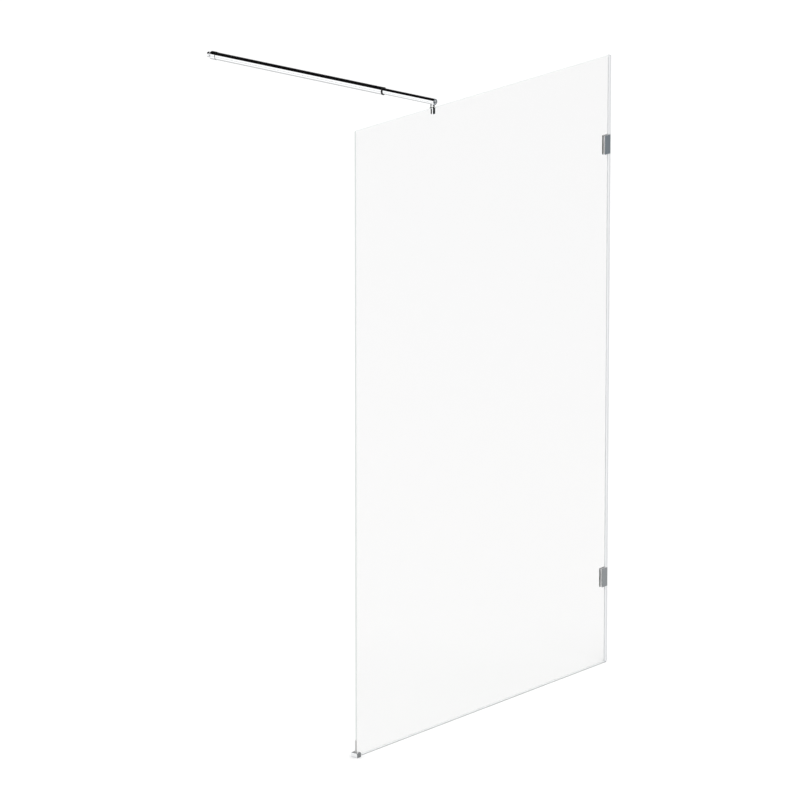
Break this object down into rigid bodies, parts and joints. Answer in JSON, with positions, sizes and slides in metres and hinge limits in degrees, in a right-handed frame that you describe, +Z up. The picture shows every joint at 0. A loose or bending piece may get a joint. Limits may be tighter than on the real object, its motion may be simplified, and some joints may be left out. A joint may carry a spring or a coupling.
{
  "type": "walk-in shower screen",
  "caption": "Fixed glass walk-in shower screen with two wall brackets, a corner foot, a sealed wall edge and a telescopic bar that braces its top edge to the facing wall.",
  "frame": {"origin": "on the floor, under the middle of the foot block, at the free edge and in the middle of the glass", "axes": "+X along the glass from its free edge to the wall, +Y from the glass to the facing wall that holds the bar, +Z up"},
  "size_m": [1.209, 0.9017, 1.983],
  "materials": {
    "glass": "clear toughened glass with polished edges",
    "clear_seal": "clear flexible plastic",
    "clear_liner": "soft clear plastic",
    "black_rubber": "black rubber",
    "grey_liner": "soft matt grey",
    "black_nylon": "moulded, matt",
    "white_nylon": "moulded, matt",
    "stainless": "plain stainless steel",
    "chrome": "polished chrome"
  },
  "bodies": {
    "screen": {"glass_panel": "glass", "wall_seal_top": "clear_seal", "wall_seal_middle": "clear_seal", "wall_seal_bottom": "clear_seal", "floor_seal": "clear_seal", "upper_wall_bracket": "chrome", "upper_bracket_liner": "clear_liner", "upper_bracket_grub_screws": "stainless", "lower_wall_bracket": "chrome", "lower_bracket_liner": "clear_liner", "lower_bracket_grub_screws": "stainless", "foot_block": "chrome", "foot_liner": "grey_liner", "foot_grub_screw": "stainless", "bar_clamp_body": "chrome", "bar_clamp_liner": "black_rubber", "bar_clamp_grub_screw": "stainless", "swivel_washer": "white_nylon", "swivel_bolt": "stainless"},
    "inner_bar": {"bar_saddle": "chrome", "bolt_seat": "white_nylon", "inner_tube": "chrome", "bar_end_cap": "chrome", "inner_tube_guide": "black_nylon"},
    "outer_bar": {"outer_tube": "chrome", "tube_end_ring": "chrome", "guide_bush": "black_nylon", "bar_lock_screw": "stainless", "swivel_cup": "chrome", "cup_fixing_screw": "stainless", "pivot_pin": "stainless"},
    "wall_end": {"wall_boss": "chrome"}
  },
  "joints": [
    {"name": "bar_swivel", "type": "hinge", "parent": "screen", "child": "inner_bar", "pos_m": [0.356, 0, 1.957], "axis": [0, 0, 1], "range_deg": [-90, 90]},
    {"name": "bar_extend", "type": "slide", "parent": "inner_bar", "child": "outer_bar", "axis": [0, 1, 0], "range_m": [-0.17, 0.3]},
    {"name": "wall_swivel", "type": "hinge", "parent": "outer_bar", "child": "wall_end", "pos_m": [0.356, 0.872, 1.97], "axis": [0, 0, 1], "range_deg": [-45, 45]}
  ]
}
